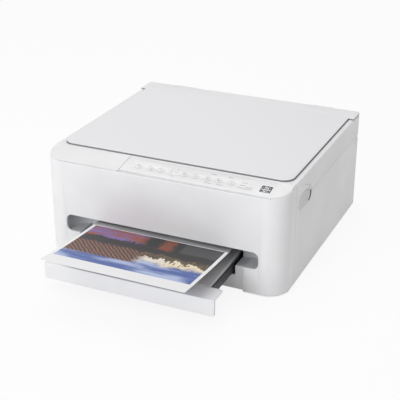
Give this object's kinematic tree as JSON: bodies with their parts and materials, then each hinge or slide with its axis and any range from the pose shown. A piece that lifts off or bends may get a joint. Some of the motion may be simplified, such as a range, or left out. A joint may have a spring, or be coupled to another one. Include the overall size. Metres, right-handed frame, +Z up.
{
  "type": "multifunction printer",
  "caption": "Compact white inkjet printer with a flatbed scanner, hinged cover, front paper cassette and a printed sheet in its slot.",
  "frame": {"origin": "centre of the bounding box on the ground, with the cassette pulled out and the sheet in the slot, as shown", "axes": "+Z up, the front with the output slot faces -Y, +X to the right seen from the front"},
  "size_m": [0.372, 0.4984, 0.16],
  "materials": {
    "white_shell": "fine satin grain",
    "panel_white": "smooth satin",
    "key_white": "smooth satin with grey icons",
    "front_white": "fine satin grain",
    "slot_grey": "satin",
    "grey_tray": "fine grain",
    "dark_plastic": "matt moulded",
    "black_plastic": "matt moulded",
    "pad_foam": "smooth white foam sheet",
    "scan_glass": "polished",
    "light_lens": "clear lens",
    "circuit_board": "solder mask",
    "foot_rubber": "matt",
    "sheet_steel": "zinc plated",
    "rod_steel": "ground bar",
    "motor_steel": "plated can",
    "belt_rubber": "toothed",
    "roller_rubber": "matt",
    "gear_white": "natural moulding",
    "cartridge_black": "matt",
    "cartridge_grey": "matt",
    "lever_grey": "matt",
    "photo_paper": "printed gloss paper"
  },
  "bodies": {
    "base": {"front_panel": "white_shell", "slot_cheeks": "slot_grey", "left_side_panel": "white_shell", "right_side_panel": "white_shell", "rear_panel": "white_shell", "base_pan": "dark_plastic", "rubber_feet": "foot_rubber", "side_frames": "sheet_steel", "carriage_rails": "sheet_steel", "timing_belt": "belt_rubber", "carriage_motor": "motor_steel", "platen": "black_plastic", "feed_motor": "motor_steel", "purge_unit": "dark_plastic", "power_supply": "black_plastic", "power_inlet": "black_plastic", "main_board": "circuit_board"},
    "scanner": {"scanner_floor": "white_shell", "deck": "white_shell", "control_panel": "panel_white", "control_board": "circuit_board", "status_lights": "light_lens", "scanner_glass": "scan_glass", "scan_rod": "rod_steel"},
    "cover": {"cover_shell": "white_shell", "cover_liner": "white_shell", "pressure_pad": "pad_foam"},
    "scan_head": {"scan_head": "black_plastic"},
    "cassette": {"cassette": "dark_plastic", "cassette_front": "front_white", "cassette_cover": "grey_tray"},
    "left_guide": {"left_paper_guide": "grey_tray"},
    "right_guide": {"right_paper_guide": "grey_tray"},
    "sheet": {"printed_sheet": "photo_paper"},
    "carriage": {"carriage": "black_plastic", "black_cartridge": "cartridge_black", "colour_cartridge": "cartridge_grey"},
    "black_lever": {"black_lock_lever": "lever_grey"},
    "colour_lever": {"colour_lock_lever": "lever_grey"},
    "drive_pulley": {"drive_pulley": "dark_plastic"},
    "idler_pulley": {"idler_pulley": "dark_plastic"},
    "feed_roller": {"feed_roller": "roller_rubber", "feed_gear": "gear_white"},
    "eject_roller": {"eject_roller": "roller_rubber", "eject_gear": "gear_white"},
    "idler_gear": {"idler_gear": "gear_white"},
    "feed_pinion": {"feed_pinion": "gear_white"},
    "pinch_rollers": {"pinch_rollers": "dark_plastic"},
    "star_wheels": {"star_wheels": "sheet_steel"},
    "pickup_arm": {"pickup_arm": "dark_plastic"},
    "pickup_roller": {"pickup_roller": "roller_rubber"},
    "rear_cover": {"rear_cover": "white_shell"},
    "power_key": {"power_key": "key_white"},
    "wireless_key": {"wireless_key": "key_white"},
    "information_key": {"information_key": "key_white"},
    "network_key": {"network_key": "key_white"},
    "paper_key": {"paper_key": "key_white"},
    "copy_black_key": {"copy_black_key": "key_white"},
    "copy_colour_key": {"copy_colour_key": "key_white"},
    "stop_key": {"stop_key": "key_white"}
  },
  "joints": [
    {"name": "scanner_lift", "type": "hinge", "parent": "base", "child": "scanner", "pos_m": [0, 0.24575, 0.1224], "axis": [-1, 0, 0], "range_deg": [0, 42]},
    {"name": "cover_lift", "type": "hinge", "parent": "scanner", "child": "cover", "pos_m": [0, 0.24575, 0.1572], "axis": [-1, 0, 0], "range_deg": [0, 85]},
    {"name": "scan_head_slide", "type": "slide", "parent": "scanner", "child": "scan_head", "axis": [1, 0, 0], "range_m": [0, 0.3]},
    {"name": "cassette_slide", "type": "slide", "parent": "base", "child": "cassette", "axis": [0, 1, 0], "range_m": [0, 0.098]},
    {"name": "left_guide_slide", "type": "slide", "parent": "cassette", "child": "left_guide", "axis": [1, 0, 0], "range_m": [0, 0.03]},
    {"name": "right_guide_slide", "type": "slide", "parent": "cassette", "child": "right_guide", "axis": [1, 0, 0], "range_m": [-0.03, 0]},
    {"name": "sheet_feed", "type": "slide", "parent": "base", "child": "sheet", "axis": [0, -1, 0], "range_m": [0, 0.036]},
    {"name": "carriage_slide", "type": "slide", "parent": "base", "child": "carriage", "axis": [-1, 0, 0], "range_m": [0, 0.256]},
    {"name": "black_lever_lift", "type": "hinge", "parent": "carriage", "child": "black_lever", "pos_m": [0.1205, 0.08205, 0.1092], "axis": [-1, 0, 0], "range_deg": [0, 9]},
    {"name": "colour_lever_lift", "type": "hinge", "parent": "carriage", "child": "colour_lever", "pos_m": [0.144, 0.08205, 0.1092], "axis": [-1, 0, 0], "range_deg": [0, 9]},
    {"name": "drive_pulley_spin", "type": "hinge", "parent": "base", "child": "drive_pulley", "pos_m": [0.144, 0.12375, 0.084], "axis": [0, 1, 0], "continuous": true},
    {"name": "idler_pulley_spin", "type": "hinge", "parent": "base", "child": "idler_pulley", "pos_m": [-0.144, 0.12375, 0.084], "axis": [0, 1, 0], "continuous": true},
    {"name": "feed_spin", "type": "hinge", "parent": "base", "child": "feed_roller", "pos_m": [0, 0.08925, 0.0522], "axis": [1, 0, 0], "continuous": true},
    {"name": "eject_spin", "type": "hinge", "parent": "base", "child": "eject_roller", "pos_m": [0, 0.01125, 0.0532], "axis": [1, 0, 0], "continuous": true},
    {"name": "idler_spin", "type": "hinge", "parent": "base", "child": "idler_gear", "pos_m": [-0.1675, 0.04575, 0.05276], "axis": [1, 0, 0], "continuous": true},
    {"name": "pinion_spin", "type": "hinge", "parent": "base", "child": "feed_pinion", "pos_m": [-0.1675, 0.12525, 0.03258], "axis": [1, 0, 0], "continuous": true},
    {"name": "pinch_spin", "type": "hinge", "parent": "base", "child": "pinch_rollers", "pos_m": [0, 0.08925, 0.0633], "axis": [1, 0, 0], "continuous": true},
    {"name": "star_spin", "type": "hinge", "parent": "base", "child": "star_wheels", "pos_m": [0, 0.01125, 0.0633], "axis": [1, 0, 0], "continuous": true},
    {"name": "pickup_swing", "type": "hinge", "parent": "base", "child": "pickup_arm", "pos_m": [0, 0.14525, 0.06], "axis": [-1, 0, 0], "range_deg": [0, 20]},
    {"name": "pickup_spin", "type": "hinge", "parent": "pickup_arm", "child": "pickup_roller", "pos_m": [0, 0.18525, 0.06], "axis": [1, 0, 0], "continuous": true},
    {"name": "rear_cover_open", "type": "hinge", "parent": "base", "child": "rear_cover", "pos_m": [0, 0.24455, 0.027], "axis": [-1, 0, 0], "range_deg": [0, 80]},
    {"name": "power_key_press", "type": "slide", "parent": "scanner", "child": "power_key", "axis": [0, 0.174, -0.9847], "range_m": [0, 0.0006], "stiffness_N_per_m": 400, "springref_m": -0.0004},
    {"name": "wireless_key_press", "type": "slide", "parent": "scanner", "child": "wireless_key", "axis": [0, 0.174, -0.9847], "range_m": [0, 0.0006], "stiffness_N_per_m": 400, "springref_m": -0.0004},
    {"name": "information_key_press", "type": "slide", "parent": "scanner", "child": "information_key", "axis": [0, 0.174, -0.9847], "range_m": [0, 0.0006], "stiffness_N_per_m": 400, "springref_m": -0.0004},
    {"name": "network_key_press", "type": "slide", "parent": "scanner", "child": "network_key", "axis": [0, 0.174, -0.9847], "range_m": [0, 0.0006], "stiffness_N_per_m": 400, "springref_m": -0.0004},
    {"name": "paper_key_press", "type": "slide", "parent": "scanner", "child": "paper_key", "axis": [0, 0.174, -0.9847], "range_m": [0, 0.0006], "stiffness_N_per_m": 400, "springref_m": -0.0004},
    {"name": "copy_black_key_press", "type": "slide", "parent": "scanner", "child": "copy_black_key", "axis": [0, 0.174, -0.9847], "range_m": [0, 0.0006], "stiffness_N_per_m": 400, "springref_m": -0.0004},
    {"name": "copy_colour_key_press", "type": "slide", "parent": "scanner", "child": "copy_colour_key", "axis": [0, 0.174, -0.9847], "range_m": [0, 0.0006], "stiffness_N_per_m": 400, "springref_m": -0.0004},
    {"name": "stop_key_press", "type": "slide", "parent": "scanner", "child": "stop_key", "axis": [0, 0.174, -0.9847], "range_m": [0, 0.0006], "stiffness_N_per_m": 400, "springref_m": -0.0004}
  ],
  "couplings": [
    {"joint": "right_guide_slide", "follows": "left_guide_slide", "ratio": -1},
    {"joint": "drive_pulley_spin", "follows": "carriage_slide", "rad_per_m": -150},
    {"joint": "idler_pulley_spin", "follows": "carriage_slide", "rad_per_m": -150},
    {"joint": "eject_spin", "follows": "feed_spin", "ratio": 1.375},
    {"joint": "idler_spin", "follows": "feed_spin", "ratio": -3.1429},
    {"joint": "pinion_spin", "follows": "feed_spin", "ratio": -4.125},
    {"joint": "pinch_spin", "follows": "feed_spin", "ratio": -2.1875},
    {"joint": "star_spin", "follows": "feed_spin", "ratio": -2.5781},
    {"joint": "pickup_spin", "follows": "feed_spin", "ratio": 0.77778}
  ]
}
